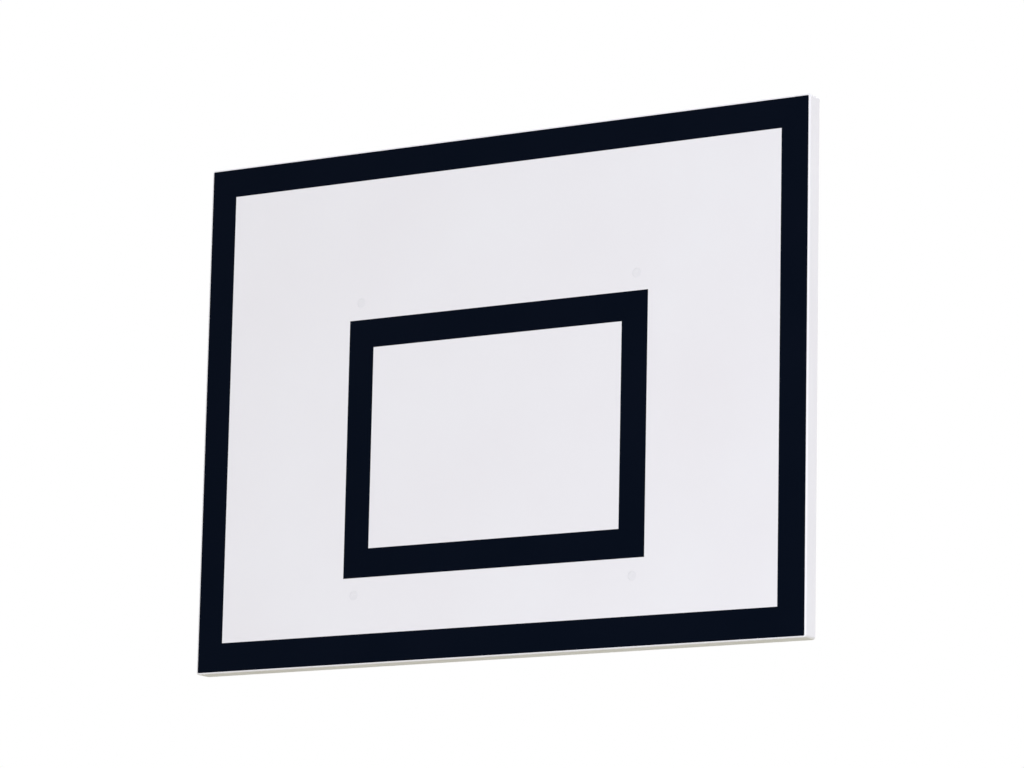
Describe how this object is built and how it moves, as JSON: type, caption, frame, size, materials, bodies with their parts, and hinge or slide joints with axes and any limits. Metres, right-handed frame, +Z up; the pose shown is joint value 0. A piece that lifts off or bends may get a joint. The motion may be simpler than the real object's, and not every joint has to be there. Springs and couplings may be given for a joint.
{
  "type": "basketball backboard",
  "caption": "Rectangular white backboard with black border and target lines: a rimmed moulded shell on a welded tube frame with bolt holes behind for its support.",
  "frame": {"origin": "centre of the four support holes, on the back face of the frame's uprights", "axes": "+X to the player's right along the board's width, +Y out of its back, +Z up"},
  "size_m": [1.2, 0.048, 0.9],
  "materials": {
    "white_gelcoat": "satin",
    "black_gelcoat": "satin",
    "glass_fibre_laminate": "rough",
    "galvanised_steel": "satin",
    "zinc_plated_steel": "bright",
    "white_painted_steel": "satin",
    "black_rubber": "matte",
    "black_plastic": "matte",
    "nylon": "satin",
    "white_plastic": "satin"
  },
  "bodies": {
    "root": {"front_shell": "white_gelcoat", "border_line": "black_gelcoat", "target_line": "black_gelcoat", "left_upright": "galvanised_steel", "right_upright": "galvanised_steel", "upper_cross_rail": "galvanised_steel", "lower_cross_rail": "galvanised_steel", "upper_left_arm": "galvanised_steel", "upper_right_arm": "galvanised_steel", "lower_left_arm": "galvanised_steel", "lower_right_arm": "galvanised_steel", "frame_welds": "galvanised_steel", "ring_plate": "galvanised_steel", "upright_bedding": "black_rubber", "rail_bedding": "black_rubber", "arm_bedding": "black_rubber", "arm_straps": "glass_fibre_laminate", "upright_straps": "glass_fibre_laminate", "upright_end_caps": "black_plastic", "arm_end_caps": "black_plastic", "shell_bolts": "white_painted_steel", "socket_plugs": "white_plastic", "crush_sleeves": "zinc_plated_steel", "bolt_washers": "zinc_plated_steel", "lock_nuts": "zinc_plated_steel", "lock_nut_rings": "nylon", "mount_nuts": "zinc_plated_steel"}
  },
  "joints": []
}
